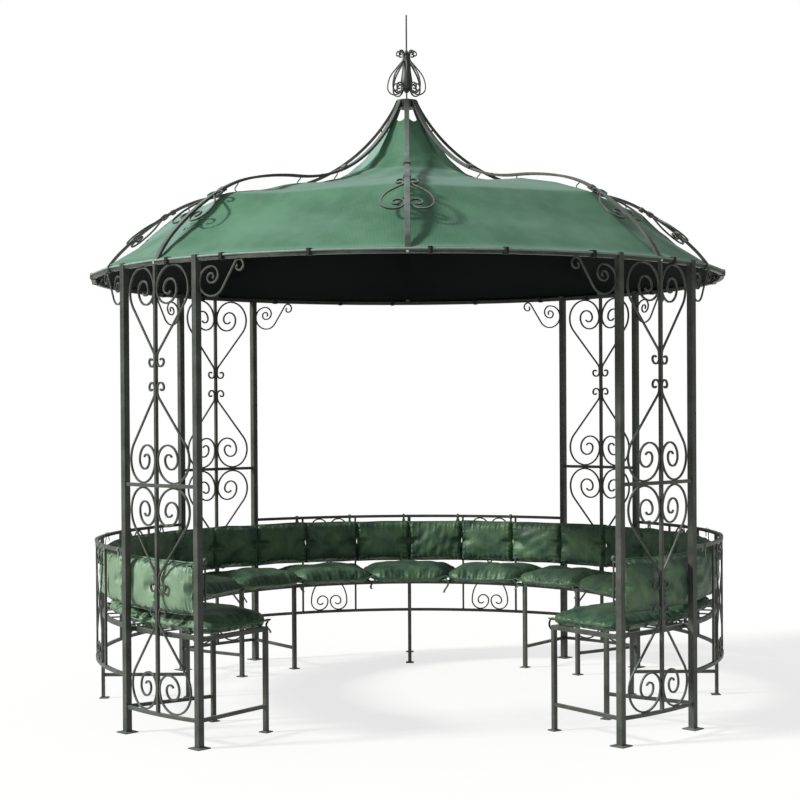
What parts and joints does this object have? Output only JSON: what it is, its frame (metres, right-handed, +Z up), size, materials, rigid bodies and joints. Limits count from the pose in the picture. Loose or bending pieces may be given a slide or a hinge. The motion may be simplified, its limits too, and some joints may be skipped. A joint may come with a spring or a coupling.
{
  "type": "garden gazebo",
  "caption": "Round open garden gazebo with iron posts, scroll panels, a cloth dome roof with a finial, and a cushioned ring bench around the inside.",
  "frame": {"origin": "centre of the round plan on the ground", "axes": "+Z up, the open entrance faces -Y, +X is right when looking in through the entrance"},
  "size_m": [3.216, 3.2158, 3.525],
  "materials": {
    "iron": "satin",
    "canopy_cloth": "matt",
    "cushion_cloth": "soft sheen"
  },
  "bodies": {
    "root": {"back_cushions": "cushion_cloth", "backrest_back": "iron", "backrest_left": "iron", "backrest_right": "iron", "canopy": "canopy_cloth", "crown": "iron", "eave_ring": "iron", "finial": "iron", "post_1": "iron", "post_2": "iron", "post_3": "iron", "post_4": "iron", "post_5": "iron", "post_6": "iron", "post_7": "iron", "post_8": "iron", "roof_rib_1": "iron", "roof_rib_2": "iron", "roof_rib_3": "iron", "roof_rib_4": "iron", "roof_rib_5": "iron", "roof_rib_6": "iron", "roof_rib_7": "iron", "roof_rib_8": "iron", "scroll_panel_1": "iron", "scroll_panel_2": "iron", "scroll_panel_3": "iron", "scroll_panel_4": "iron", "seat_cushions": "cushion_cloth", "seat_frame_back": "iron", "seat_frame_left": "iron", "seat_frame_right": "iron", "seat_leg_1": "iron", "seat_leg_10": "iron", "seat_leg_11": "iron", "seat_leg_2": "iron", "seat_leg_3": "iron", "seat_leg_4": "iron", "seat_leg_5": "iron", "seat_leg_6": "iron", "seat_leg_7": "iron", "seat_leg_8": "iron", "seat_leg_9": "iron"}
  },
  "joints": []
}
